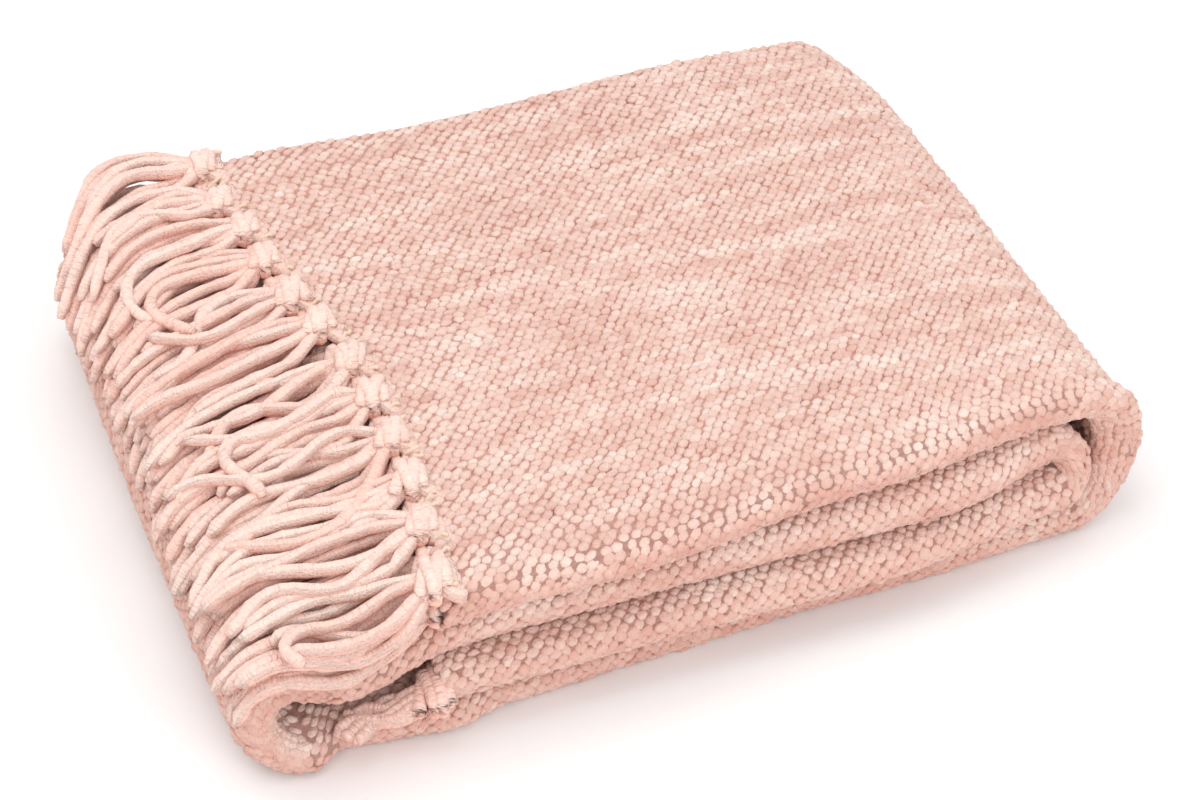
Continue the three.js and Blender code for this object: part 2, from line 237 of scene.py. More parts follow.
def settled(x, y, z):
    across = np.clip((x - STACK_FROM_X) / STACK_LENGTH, 0, 1)
    deep = np.clip(y / DEPTH, 0, 1)
    rise = 1 + CROWN * (1 - (2 * across - 1) ** 2) * (1 - (2 * deep - 1) ** 2)
    for hump in HUMPS:
        away = (x - hump["x"]) ** 2 + (y - hump["y"]) ** 2
        rise = rise + hump["rise"] * np.exp(-away / hump["reach"] ** 2)
    taper = RIGHT_TAPER * (smooth(y / FLARE["depth"]) - FLARE["share"])
    rounding = (y - BACK_ROUNDING["start"]) / (DEPTH - BACK_ROUNDING["start"])
    taper = taper + BACK_ROUNDING["by"] * smooth(rounding)
    at_left = 1 - smooth((x - STACK_FROM_X) / (LEFT_BULGE_TO_X - STACK_FROM_X))
    bulge = LEFT_BULGE * at_left * np.sin(math.pi * deep)
    drop = sunk(HOLLOW, x, y, z) + sunk(SAG, x, y, z)
    x = x - taper * across**3 - bulge + ORIGIN_X
    return np.stack([x, y + ORIGIN_Y, z * rise - drop], -1)


def on_the_folds(along, across, height):
    """Where a point of the cloth lies once folded, from its places along, across and out of its face."""
    along, across, height = np.broadcast_arrays(along, across, height)
    _, x, z, out_x, out_z, outside, keep, front = (np.interp(along, roll[0], row) for row in roll)
    _, u, v, face_u, face_v = (np.interp(across, strip[0], row) for row in strip)
    u = u + height * face_u
    v = v + height * face_v
    fade = 1 - smooth((x - TOP_END_X) / TOP_END_FADE)
    x = np.where(along < top_end, x + top_end_shift(u) * fade, x)
    x = x + np.minimum(along, 0)
    still = -HALF_STRIP * outside
    out = still + (v - still) * thickness_kept(u, keep)
    return settled(x + out * out_x, u + front_shift(front, u), z + out * out_z)


CLOTH_COLUMNS = 260
CLOTH_ROWS = 120
BASE_SHEET = 0.0056  # thickness of the cloth that the bobbles stand on


def pile_material(name):
    """Matt pile with a soft sheen: its material, its node tree, its shader and its UV places."""
    material = bpy.data.materials.new(name)
    material.use_nodes = True
    tree = material.node_tree
    shader = tree.nodes["Principled BSDF"]
    shader.inputs["Roughness"].default_value = 0.95
    shader.inputs["Specular IOR Level"].default_value = 0.15
    shader.inputs["Sheen Weight"].default_value = 0.4
    shader.inputs["Sheen Roughness"].default_value = 0.5
    shader.inputs["Sheen Tint"].default_value = (1, 0.9, 0.85, 1)
    return material, tree, shader, tree.nodes.new("ShaderNodeTexCoord").outputs["UV"]


def noise(tree, uv, detail, stretch):
    mapping = tree.nodes.new("ShaderNodeMapping")
    mapping.inputs["Scale"].default_value = stretch
    tree.links.new(uv, mapping.inputs["Vector"])
    node = tree.nodes.new("ShaderNodeTexNoise")
    node.inputs["Scale"].default_value = 1
    node.inputs["Detail"].default_value = detail
    tree.links.new(mapping.outputs["Vector"], node.inputs["Vector"])
    return node.outputs["Fac"]


def chenille(name, tint_strength):
    """Blush pile yarn, with painted sheen streaks along the cloth where the pile lies different ways, painted
    shade low on each bobble and down between them, and painted shade on faces that don't look up.
    """
    material, tree, shader, uv = pile_material(name)

    def ramp(value, stops):
        node = tree.nodes.new("ShaderNodeValToRGB")
        for i, (position, colour) in enumerate(stops):
            element = node.color_ramp.elements[i] if i < 2 else node.color_ramp.elements.new(position)
            element.position = position
            element.color = (*colour, 1)
        tree.links.new(value, node.inputs["Fac"])
        return node.outputs["Color"]

    def mix(kind, amount, first, second):
        node = tree.nodes.new("ShaderNodeMix")
        node.data_type = "RGBA"
        node.blend_type = kind
        for socket, value in ((0, amount), (6, first), (7, second)):
            if hasattr(value, "is_linked"):
                tree.links.new(value, node.inputs[socket])
            else:
                node.inputs[socket].default_value = value
        return node.outputs[2]

    # Light and dark streaks along the cloth: the pile lies different ways, and its sheen is painted into the
    # colour.
    sheen_streaks = ramp(noise(tree, uv, 3, (24, 130, 1)), [
        (0.36, (0.72, 0.41, 0.34)), (0.5, (0.81, 0.53, 0.45)), (0.66, (0.9, 0.73, 0.65))])
    # The tint holds each point's tone in red, and painted shade in green and blue.
    tint_and_shade = tree.nodes.new("ShaderNodeAttribute")
    tint_and_shade.attribute_name = "tint_and_shade"
    split = tree.nodes.new("ShaderNodeSeparateColor")
    tree.links.new(tint_and_shade.outputs["Color"], split.inputs["Color"])
    each = ramp(split.outputs["Red"], [(0.0, (0.72, 0.44, 0.36)), (1.0, (0.92, 0.77, 0.69))])
    coloured = mix("MIX", tint_strength, sheen_streaks, each)
    # Painted shade: low on each bobble, and on the cloth between them, the colour is darker, from the tint's
    # green.
    painted_pit_shade = ramp(split.outputs["Green"], [(0.0, (0.66, 0.42, 0.37)), (0.7, (1, 1, 1))])
    # Painted shade on faces that look sideways or down, from the tint's blue, which holds how far the face
    # looks up.
    side = ramp(split.outputs["Blue"], [(0.0, (0.94, 0.8, 0.77)), (0.9, (1, 1, 1))])
    final = mix("MULTIPLY", 1.0, mix("MULTIPLY", 1.0, coloured, painted_pit_shade), side)
    tree.links.new(final, shader.inputs["Base Color"])

    fuzz = tree.nodes.new("ShaderNodeBump")
    fuzz.inputs["Strength"].default_value = 0.8
    fuzz.inputs["Distance"].default_value = 0.0025
    tree.links.new(noise(tree, uv, 4, (1100, 1100, 1)), fuzz.inputs["Height"])
    tree.links.new(fuzz.outputs["Normal"], shader.inputs["Normal"])
    return material


blush_chenille = chenille("blush chenille", 0.45)

cloth_mesh = bpy.data.meshes.new("cloth")
grid = bmesh.new()
bmesh.ops.create_grid(grid, x_segments=CLOTH_COLUMNS, y_segments=CLOTH_ROWS, size=0.5, calc_uvs=True)
uv_layer = grid.loops.layers.uv.verify()
for face in grid.faces:
    for loop in face.loops:
        place = loop.vert.co
        loop[uv_layer].uv = ((place.x + 0.5) * roll_length / 2, (place.y + 0.5) * strip_width / 2)
grid.to_mesh(cloth_mesh)
grid.free()

# The rows of the grid stand closer where the strip folds over.
row_knots = [0, outer_end - 0.02, outer_end, front_end, front_end + 0.02, under_end, back_end, strip_width]
row_share = [0, 22, 28, 50, 56, 78, 92, 120]
flat = np.empty(len(cloth_mesh.vertices) * 3)
cloth_mesh.vertices.foreach_get("co", flat)
flat = flat.reshape(-1, 3)
cloth_along = (flat[:, 0] + 0.5) * roll_length
cloth_across = np.interp((flat[:, 1] + 0.5) * CLOTH_ROWS, row_share, row_knots)
cloth_mesh.vertices.foreach_set("co", on_the_folds(cloth_along, cloth_across, 0.0).ravel())
cloth_mesh.update()
# The base sheet, seen down between the bobbles: a low tone in red, painted pit shade in green, and a little
# painted side shade in blue.
base_tone_and_shade = np.tile((0.3, 0.24, 0.7, 1), len(cloth_mesh.vertices))
cloth_mesh.color_attributes.new("tint_and_shade", "FLOAT_COLOR", "POINT").data.foreach_set("color", base_tone_and_shade)
cloth = bpy.data.objects.new("folded_cloth", cloth_mesh)
bpy.context.collection.objects.link(cloth)
for polygon in cloth_mesh.polygons:
    polygon.use_smooth = True
thickness = cloth.modifiers.new("thickness", "SOLIDIFY")
thickness.thickness = BASE_SHEET
thickness.offset = 0
cloth_mesh.materials.append(blush_chenille)
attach(cloth, "root")
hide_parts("cloth")

# THE BOBBLES OF THE WEAVE
# Where a thick pile yarn passes over the cloth it stands up as a plump bobble, and the rows of bobbles
# lie like bricks. They are made where the cloth shows, on its outer face, each a small closed dome.
BOBBLE_PITCH = 0.0073
BOBBLE_ROW = 0.0042
BOBBLE_LONG = 0.0044  # half sizes
BOBBLE_WIDE = 0.0036
BOBBLE_TALL = 0.0031
BOBBLE_FOOT = 0.0015  # how far its foot is from the middle of the sheet
BOBBLE_YAW = -0.4  # how far it is turned from the length of the cloth, in radians
RUBBED_OVER = 0.006  # they lie flatter down the middle of the front fold
BOBBLE_LUMPS = 0.00022


def bobble_form():
    """A dome of thirty triangles, closed below."""
    form = bmesh.new()
    bmesh.ops.create_uvsphere(form, u_segments=8, v_segments=4, radius=1)
    everything = form.verts[:] + form.edges[:] + form.faces[:]
    bmesh.ops.bisect_plane(
        form, geom=everything, dist=0.001, plane_co=(0, 0, 0), plane_no=(0, 0, 1), clear_inner=True)
    bmesh.ops.holes_fill(form, edges=form.edges[:], sides=0)
    bmesh.ops.triangulate(form, faces=form.faces[:])
    bmesh.ops.recalc_face_normals(form, faces=form.faces[:])
    form.verts.index_update()
    points = np.array([v.co for v in form.verts])
    corners = np.array([[v.index for v in f.verts] for f in form.faces])
    form.free()
    return points, corners


def joined_mesh(name, points, corners, uvs, tints, material):
    """One mesh from copies of a form. points and uvs are copies x points, tints are colours of the points."""
    copies, size = points.shape[:2]
    index = (corners[None] + size * np.arange(copies)[:, None, None]).reshape(-1, 3)
    mesh = bpy.data.meshes.new(name)
    mesh.vertices.add(copies * size)
    mesh.vertices.foreach_set("co", points.ravel())
    mesh.loops.add(index.size)
    mesh.loops.foreach_set("vertex_index", index.ravel())
    mesh.polygons.add(len(index))
    mesh.polygons.foreach_set("loop_start", np.arange(0, index.size, 3))
    mesh.polygons.foreach_set("use_smooth", np.ones(len(index), bool))
    mesh.uv_layers.new(name="UVMap").data.foreach_set("uv", uvs.reshape(-1, 2)[index.ravel()].ravel())
    mesh.color_attributes.new("tint_and_shade", "FLOAT_COLOR", "POINT").data.foreach_set("color", tints.ravel())
    mesh.update(calc_edges=True)
    mesh.materials.append(material)
    thing = bpy.data.objects.new(name, mesh)
    bpy.context.collection.objects.link(thing)
    return thing


def even_places(start, end, pitch, spread):
    """Places a pitch apart on a face that is spread wider than the cloth's middle where it turns."""
    fine = np.linspace(start, end, 2000)
    length = np.concatenate([[0], np.cumsum(np.diff(fine) * spread((fine[1:] + fine[:-1]) / 2))])
    return np.interp(np.arange(pitch / 2, length[-1], pitch), length, fine)


def roll_spread(v):
    """How much longer the roll's face is than its middle, at v out of the middle of the strip."""
    def spread(along):
        out_x = np.interp(along, roll[0], roll[3])
        turning = np.abs(out_x) > 1e-6
        radius = np.select(
            [along < right_end, along < left_end],
            [1.5 * LAYER_PITCH, LAYER_PITCH],
            0.5 * LAYER_PITCH,
        )
        return np.where(turning, 1 + v / radius, 1)
    return spread


def strip_spread(across):
    folding = ((across > outer_end) & (across < front_end)) | ((across > under_end) & (across < back_end))
    radius = np.where(across < under_end, SHEET_PITCH, SHEET_PITCH / 2)
    return np.where(folding, 1 + SHEET / 2 / radius, 1)


bobble_points, bobble_corners = bobble_form()
dice = np.random.default_rng(7)


def bobbles(name, start, end, low, high, v):
    """Bobbles on the cloth's outer face, from start to end along it and from low to high across it."""
    columns = even_places(start, end, BOBBLE_PITCH, roll_spread(v))
    rows = even_places(low, high, BOBBLE_ROW, strip_spread)
    offset = np.diff(columns).mean() / 2 if len(columns) > 1 else 0
    along = (columns[:, None] + offset * (np.arange(len(rows)) % 2)[None, :]).ravel()
    across = np.repeat(rows[None, :], len(columns), 0).ravel()
    count = len(along)
    along = np.minimum(along + dice.normal(0, 0.0005, count), roll_length - 0.001)
    across = across + dice.normal(0, 0.0003, count)
    height = BOBBLE_FOOT + dice.normal(0, 0.00025, count)
    small = 0.0005
    here = on_the_folds(along, across, height)
    ahead = on_the_folds(along + small, across, height) - on_the_folds(along - small, across, height)
    aside = on_the_folds(along, across + small, height) - on_the_folds(along, across - small, height)
    ahead = ahead / np.linalg.norm(ahead, axis=1, keepdims=True)
    up = on_the_folds(along, across, height + small) - here
    up = up / np.linalg.norm(up, axis=1, keepdims=True)
    aside = aside / np.linalg.norm(aside, axis=1, keepdims=True)
    yaw = dice.normal(BOBBLE_YAW, 0.2, count)[:, None]
    ahead, aside = ahead * np.cos(yaw) + aside * np.sin(yaw), aside * np.cos(yaw) - ahead * np.sin(yaw)
    rubbed = np.exp(-(((across - (outer_end + front_end) / 2) / RUBBED_OVER) ** 2))
    long = BOBBLE_LONG * (1 + dice.normal(0, 0.08, count) + 0.05 * rubbed)
    wide = BOBBLE_WIDE * (1 + dice.normal(0, 0.08, count) + 0.05 * rubbed)
    tall = BOBBLE_TALL * (1 + dice.normal(0, 0.1, count) - 0.1 * rubbed)
    form = bobble_points[None]
    points = (
        here[:, None]
        + form[..., 0:1] * (long[:, None] * ahead)[:, None]
        + form[..., 1:2] * (wide[:, None] * aside)[:, None]
        + form[..., 2:3] * (tall[:, None] * up)[:, None]
        + dice.normal(0, BOBBLE_LUMPS, (count, len(bobble_points), 3))
    )
    points[..., 2] = np.maximum(points[..., 2], 0)
    uvs = np.stack(
        [
            (along[:, None] + form[..., 0] * long[:, None]) / 2,
            (across[:, None] + form[..., 1] * wide[:, None]) / 2,
        ],
        -1,
    )
    tints = np.ones((count, len(bobble_points), 4))
    tints[..., 0] = np.clip(dice.normal(0.5, 0.24, count), 0, 1)[:, None]
    # Painted shade: the green is the height in the bobble, so its foot is darker.
    tints[..., 1] = form[..., 2]
    # Painted shade: the blue is how far the bobble looks up, so bobbles on the sides are darker.
    tints[..., 2] = np.clip(up[:, 2], 0, 1)[:, None]
    piece = joined_mesh(name, points, bobble_corners, uvs, tints, blush_chenille)
    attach(piece, "root")


OUTER_V = SHEET_PITCH + SHEET / 2
EDGE = 0.045  # how far in from the front fold a layer shows
UNDER_EDGE = 0.03  # how far under the front fold they go
TOP_SPLIT = 0.2  # the top is in two pieces, so that each stays small
FOLD_START = outer_end + 0.004
SECOND_SHOWS = 0.09  # how much of the second layer shows under the fringe
BACK_START = under_end - 0.02
BACK_STOP = back_end + 0.016
BACK_STRETCHES = [
    ("top_under", 0, top_end), ("bottom", right_end, bottom_end), ("second", left_end, second_end),
    ("third", inner_end, roll_length), ("right", top_end, right_end), ("left", bottom_end, left_end),
    ("inner", second_end, inner_end),
]
bobbles("bobbles_top_back", -BOBBLE_PITCH, top_end, 0, TOP_SPLIT, OUTER_V)
bobbles("bobbles_top_front", -BOBBLE_PITCH, top_end, TOP_SPLIT, FOLD_START, OUTER_V)
bobbles("bobbles_top_fold", -BOBBLE_PITCH, top_end, FOLD_START, front_end + UNDER_EDGE, OUTER_V)
bobbles("bobbles_right_turn", top_end, right_end, 0, front_end, OUTER_V)
bobbles("bobbles_right_inside", top_end, right_end, front_end, front_end + UNDER_EDGE, -OUTER_V)
bobbles("bobbles_bottom_front", right_end, bottom_end, outer_end - EDGE, front_end + UNDER_EDGE, OUTER_V)
bobbles("bobbles_left_turn", bottom_end, left_end, 0, front_end, OUTER_V)
bobbles("bobbles_left_inside", bottom_end, left_end, front_end, front_end + UNDER_EDGE, -OUTER_V)
bobbles("bobbles_second_left", left_end, left_end + SECOND_SHOWS, 0, outer_end - EDGE, OUTER_V)
bobbles("bobbles_second_front", left_end, second_end, outer_end - EDGE, front_end + UNDER_EDGE, OUTER_V)
bobbles("bobbles_inner_front", second_end, inner_end, outer_end - EDGE, front_end, OUTER_V)
bobbles("bobbles_third_front", inner_end, roll_length, outer_end - EDGE, front_end + UNDER_EDGE, OUTER_V)
for stretch, start, end in BACK_STRETCHES:
    bobbles(f"bobbles_{stretch}_back", start, end, BACK_START, BACK_STOP, OUTER_V)

# THE KNOTTED FRINGE OF THE TOP END
# The yarn ends of each pitch of the cloth are gathered and tied in a plump knot, and hang loose from it
# over the left turn. The strip has three sheets here, so there are three rows of tassels.
TASSELS_PER_PANEL = 12
TASSEL_PITCH = DEPTH / TASSELS_PER_PANEL
FRINGE = 0.106
YARN = 0.0037  # half the thickness of a strand
LONGER = 0.008  # drawn a little longer than the fringe of the solids
FAN_OVER = 0.026
HALF_FAN = TASSEL_PITCH / 2 - 0.0031
HALF_NECK = 0.0145  # half the width of a tassel where its yarns leave the cloth
LEAN_FRONT = 0.14  # how far the strands turn towards the front, in radians
LEAN_BACK = 0.62
FLUFF = {"up": 0.016, "back": 0.018, "start": 0.25}  # the last tassels are fluffed up
FRONT_LIMIT = 0.002  # a strand that goes further to the front than this is held back
FRONT_HOLD = 0.55  # by this share of how far past it goes
ON_TOP_LIFT = 0.02  # strands that are lifted more than this lie on top
STRAY_SHARE = 0.22  # of the strands on top, those that curl away
KNOT_AT = 0.0085
NECK_FROM = 0.0125  # the strands start this far behind the middle of their knot, in the cloth
SECOND_TOP = LAYERS["second"]["z"] + HALF_STRIP
STRAND_RINGS = 22
YARN_SIDES = 7
TASSEL_ROWS = [
    {
        "name": "upper", "count": 12, "sheet": 1, "knot_z": SECOND_TOP + 0.026, "phase": 0.5, "fluff": 1,
        "strands": [(-0.95, 0.0160), (-0.5, 0.0172), (0.0, 0.0160), (0.5, 0.0172), (0.95, 0.0160),
                    (-1.0, 0.0226), (-0.5, 0.0236), (0.0, 0.0226), (0.5, 0.0236), (1.0, 0.0226)],
    },
    {
        "name": "middle", "count": 11, "sheet": 0, "knot_z": SECOND_TOP + 0.0154, "phase": 1, "fluff": 0.8,
        "strands": [(-0.9, 0.0094), (-0.45, 0.0104), (0.0, 0.0094), (0.45, 0.0104), (0.9, 0.0094)],
    },
    {
        "name": "lower", "count": 12, "sheet": -1, "knot_z": SECOND_TOP + 0.0076, "phase": 0.5, "fluff": 0,
        "strands": [(-0.9, 0.0036), (-0.3, 0.0044), (0.3, 0.0036), (0.9, 0.0044)],
    },
]
# The wraps of a knot, from the cloth outwards: place along it, half sizes across and up, and slant.
KNOT_WRAPS = [
    (-0.0048, 0.0070, 0.0034, 0.1), (-0.0016, 0.0095, 0.0056, 0.45),
    (0.0018, 0.0095, 0.0056, 0.1), (0.0050, 0.0070, 0.0034, 0.5),
]
WRAP_YARN = 0.0039
WRAP_RINGS = 17


def drape(start_x, along, lift):
    """Over the second layer, then down round the left turn."""
    flat_length = start_x - LEFT_TURN_X
    radius = SECOND_TOP - LAYERS["third"]["z"] + lift
    angle = np.maximum(along - flat_length, 0) / radius
    x = np.where(along <= flat_length, start_x - along, LEFT_TURN_X - radius * np.sin(angle))
    return x, LAYERS["third"]["z"] + radius * np.cos(angle)


def tube_form(rings, sides):
    """A straight tube of unit radius, closed at its ends, with its rings one apart."""
    form = bmesh.new()
    bmesh.ops.create_circle(form, cap_ends=True, cap_tris=True, segments=sides, radius=1)
    edges = [e for e in form.edges if e.is_boundary]
    for ring in range(1, rings):
        made = bmesh.ops.extrude_edge_only(form, edges=edges)["geom"]
        verts = [g for g in made if isinstance(g, bmesh.types.BMVert)]
        edges = [g for g in made if isinstance(g, bmesh.types.BMEdge)]
        bmesh.ops.translate(form, verts=verts, vec=(0, 0, 1))
    bmesh.ops.holes_fill(form, edges=edges, sides=0)
    bmesh.ops.triangulate(form, faces=form.faces[:])
    bmesh.ops.recalc_face_normals(form, faces=form.faces[:])
    form.verts.index_update()
    points = np.array([v.co for v in form.verts])
    corners = np.array([[v.index for v in f.verts] for f in form.faces])
    form.free()
    return points, corners


def swept(lines, radii, form, lumps):
    """Lays the tube on each line of points. lines are copies x rings x 3, radii are copies x rings."""
    ring = np.rint(form[:, 2]).astype(int)
    ahead = np.gradient(lines, axis=1)
    ahead = ahead / np.linalg.norm(ahead, axis=2, keepdims=True)
    side = np.cross(ahead, np.array([0.3, 0.2, 0.93]))
    side = side / np.linalg.norm(side, axis=2, keepdims=True)
    lift = np.cross(side, ahead)
    return (
        lines[:, ring]
        + form[None, :, 0:1] * radii[:, ring, None] * side[:, ring]
        + form[None, :, 1:2] * radii[:, ring, None] * lift[:, ring]
        + dice.normal(0, lumps, (len(lines), len(form), 3))
    )


def yarn_places(lines, form):
    """Distance along each strand, and the place round it, in metres."""
    ring = np.rint(form[:, 2]).astype(int)
    length = np.cumsum(np.linalg.norm(np.diff(lines, axis=1, prepend=lines[:, :1]), axis=2), axis=1)
    length = length + dice.uniform(0, 3, len(lines))[:, None]
    around = np.arctan2(form[:, 1], form[:, 0]) / math.pi
    return np.stack([length[:, ring] / 2, np.broadcast_to(around[None] * 0.004, (len(lines), len(form)))], -1)


def yarn_piece(name, lines, radii, tints, form, corners, lumps=0.0002):
    """Strands or wraps of yarn, joined in one mesh, each with its own tone, and painted shade on the
    underside of each.
    """
    tones_and_shade = np.ones((len(lines), len(form), 4))
    tones_and_shade[..., 0] = np.array(tints)[:, None]
    # Painted shade: the green is the height round the strand, so its underside is darker and pinker.
    tones_and_shade[..., 1] = 0.5 + 0.5 * form[:, 1]
    points = swept(lines, radii, form, lumps)
    points[..., 2] = np.maximum(points[..., 2], 0)
    piece = joined_mesh(name, points, corners, yarn_places(lines, form), tones_and_shade, blush_yarn)
    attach(piece, "root")
    return piece


def chenille_yarn():
    """Cut pile yarn: a soft round strand with fine ribs across it, its underside painted in pinker, darker
    shade.
    """
    material, tree, shader, uv = pile_material("blush chenille yarn")

    def sum_of(first, factor, second):
        node = tree.nodes.new("ShaderNodeMath")
        node.operation = "MULTIPLY_ADD"
        tree.links.new(first, node.inputs[0])
        node.inputs[1].default_value = factor
        tree.links.new(second, node.inputs[2])
        return node.outputs[0]

    # The tint holds each strand's tone in red, and painted underside shade in green.
    tint_and_shade = tree.nodes.new("ShaderNodeAttribute")
    tint_and_shade.attribute_name = "tint_and_shade"
    split = tree.nodes.new("ShaderNodeSeparateColor")
    tree.links.new(tint_and_shade.outputs["Color"], split.inputs["Color"])
    ribs = noise(tree, uv, 3, (1300, 420, 1))
    value = sum_of(ribs, 0.9, sum_of(noise(tree, uv, 2, (80, 80, 1)), 0.5, split.outputs["Red"]))
    ramp = tree.nodes.new("ShaderNodeValToRGB")
    ramp.color_ramp.elements[0].position = 0.35
    ramp.color_ramp.elements[0].color = (0.95, 0.56, 0.47, 1)
    ramp.color_ramp.elements[1].position = 1.0
    ramp.color_ramp.elements[1].color = (0.99, 0.8, 0.71, 1)
    scale = tree.nodes.new("ShaderNodeMath")
    scale.operation = "MULTIPLY"
    scale.inputs[1].default_value = 0.56
    tree.links.new(value, scale.inputs[0])
    tree.links.new(scale.outputs[0], ramp.inputs["Fac"])
    # Painted shade: the underside of each strand is pinker and darker, from the tint's green.
    painted_under_shade = tree.nodes.new("ShaderNodeValToRGB")
    painted_under_shade.color_ramp.elements[0].color = (1, 0.74, 0.68, 1)
    painted_under_shade.color_ramp.elements[1].position = 0.65
    tree.links.new(split.outputs["Green"], painted_under_shade.inputs["Fac"])
    shaded = tree.nodes.new("ShaderNodeMix")
    shaded.data_type = "RGBA"
    shaded.blend_type = "MULTIPLY"
    shaded.inputs[0].default_value = 1
    tree.links.new(ramp.outputs["Color"], shaded.inputs[6])
    tree.links.new(painted_under_shade.outputs["Color"], shaded.inputs[7])
    tree.links.new(shaded.outputs[2], shader.inputs["Base Color"])
    bump = tree.nodes.new("ShaderNodeBump")
    bump.inputs["Strength"].default_value = 1.0
    bump.inputs["Distance"].default_value = 0.003
    tree.links.new(ribs, bump.inputs["Height"])
    tree.links.new(bump.outputs["Normal"], shader.inputs["Normal"])
    return material


blush_yarn = chenille_yarn()
strand_form, strand_corners = tube_form(STRAND_RINGS, YARN_SIDES)
wrap_form, wrap_corners = tube_form(WRAP_RINGS, YARN_SIDES)


def knot_lines(x, y, z, size):
    """The wraps of one knot as lines of points. size scales them."""
    angle = np.linspace(0, 2 * math.pi, WRAP_RINGS)
    lines = []
    for along, wide, tall, slant in KNOT_WRAPS:
        wide = wide * size * dice.uniform(0.92, 1.08)
        tall = tall * size * dice.uniform(0.92, 1.08)
        slant = slant + dice.normal(0, 0.12)
        across = wide * np.cos(angle)
        lines.append(np.stack([x - along * size + slant * across, y + across, z + tall * np.sin(angle)], -1))
    return lines


def on_end(points, layer, end_x):
    """Points at an end of the cloth, moved with the front of its layer and settled."""
    u = points[..., 1]
    return settled(points[..., 0], u + front_shift(set_back(LAYERS[layer], end_x), u), points[..., 2])


def strand_line(row, y, knot_x, neck_z, spread, lift, length, wander, curl, fluff):
    """One strand, from the cloth through its knot and loose over the turn."""
    along = np.linspace(-NECK_FROM, length, STRAND_RINGS)
    loose = np.maximum(along, 0)
    share = loose / FRINGE
    heading = -blend(LEAN_FRONT, LEAN_BACK, y / DEPTH) * np.sqrt(share)
    heading = heading + wander * np.sin(2 * math.pi * share * dice.uniform(0.6, 1.5) + dice.uniform(0, 6.28))
    heading = heading + curl * smooth((along / length - 0.5) / 0.4)
    step = np.diff(loose, prepend=0)
    ahead = np.cumsum(step * np.cos(heading))
    aside = np.cumsum(step * np.sin(heading))
    fan = smooth(loose / FAN_OVER)
    neck = smooth(-np.minimum(along, 0) / NECK_FROM)
    x, z = drape(knot_x, ahead, lift)
    x = x - np.minimum(along, 0)
    arch = row["fluff"] * fluff * np.sin(math.pi * np.clip(share, 0, 1))
    across = y + aside + spread * (HALF_FAN * blend(0.3, 1, fan) + (HALF_NECK - 0.3 * HALF_FAN) * neck)
    z = blend(blend(row["knot_z"], z, fan), neck_z, neck)
    across = across + FLUFF["back"] * arch
    over = np.minimum(across - FRONT_LIMIT, 0)
    return np.stack([x, across - FRONT_HOLD * over, z + FLUFF["up"] * arch], -1)


def tassel_row(row):
    lines = []
    tints = []
    wraps = []
    neck_z = LAYERS["top"]["z"] + row["sheet"] * SHEET_PITCH
    for i in range(row["count"]):
        y = (i + row["phase"]) * TASSEL_PITCH + dice.normal(0, 0.0015)
        knot_x = TOP_END_X - KNOT_AT + top_end_shift(y)
        fluffed = smooth((y - FLUFF["start"]) / (DEPTH - FLUFF["start"]))
        tassel_tint = 0.5 + dice.normal(0, 0.06)
        for spread, lift in row["strands"]:
            on_top = lift > ON_TOP_LIFT
            length = FRINGE + LONGER + max(top_end_shift(y), 0)
            length = length * (dice.uniform(0.68, 1.08) if on_top else dice.uniform(0.88, 1.08))
            stray = on_top and dice.random() < STRAY_SHARE and i < row["count"] - 1
            lines.append(strand_line(
                row, y, knot_x, neck_z,
                spread=spread * (1.15 if on_top else 1.05) + dice.normal(0, 0.12),
                lift=lift + dice.normal(0, 0.0008) + 0.004 * stray,
                length=length,
                wander=dice.normal(0, 0.34 if on_top else 0.16),
                curl=dice.uniform(-1.7, 0.9) if stray else 0,
                fluff=fluffed * dice.uniform(0.5, 1.1)))
            # Strands that lie on top are 0.06 lighter: a painted highlight, as they lie in the light.
            tints.append(tassel_tint + dice.normal(0, 0.12) + 0.06 * on_top)
        wraps.extend(knot_lines(knot_x, y, row["knot_z"], dice.uniform(0.9, 1.12)))
    lines = on_end(np.array(lines), "top", TOP_END_X)
    radii = YARN * dice.uniform(0.9, 1.1, (len(lines), 1)) * dice.normal(1, 0.07, (len(lines), STRAND_RINGS))
    radii[:, -1] *= 0.6
    strands = yarn_piece(f"tassel_strands_{row['name']}", lines, radii, tints, strand_form, strand_corners)
    wraps = on_end(np.array(wraps), "top", TOP_END_X)
    wrap_radii = np.full(wraps.shape[:2], WRAP_YARN)
    wrap_tints = dice.normal(0.6, 0.08, len(wraps))
    yarn_piece(f"tassel_knots_{row['name']}", wraps, wrap_radii, wrap_tints, wrap_form, wrap_corners)
    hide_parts(*[f"tassel_{row['name']}_{i + 1}" for i in range(row["count"])])


for row in TASSEL_ROWS:
    tassel_row(row)

# THE BINDING THREADS
# A thin cream thread runs through the end of the cloth to hold the weave, and shows as short loops
# between the cloth's edge and the knots of the upper row.
THREAD = 0.0012  # half its thickness
THREAD_INSET = 0.003  # how far in from the cloth's end a loop starts
THREAD_RISE = 0.0022
THREAD_DROP = 0.010
THREAD_RINGS = 8
thread_form, thread_corners = tube_form(THREAD_RINGS, 6)
TOP_FACE = LAYERS["top"]["z"] + OUTER_V
threads = []
for i in range(TASSELS_PER_PANEL):
    for side in (-1, 1):
        y = (i + 0.5) * TASSEL_PITCH + side * dice.uniform(0.010, 0.014)
        share = np.linspace(0, 1, THREAD_RINGS)
        length = dice.uniform(0.010, 0.017)
        x = TOP_END_X + top_end_shift(y) + THREAD_INSET - length * share
        across = y + dice.uniform(-0.008, 0.008) * share + dice.normal(0, 0.0006, THREAD_RINGS)
        height = TOP_FACE + THREAD_RISE - THREAD_DROP * share**2 + dice.normal(0, 0.0004, THREAD_RINGS)
        threads.append(np.stack([x, across, height], -1))
threads = on_end(np.array(threads), "top", TOP_END_X)
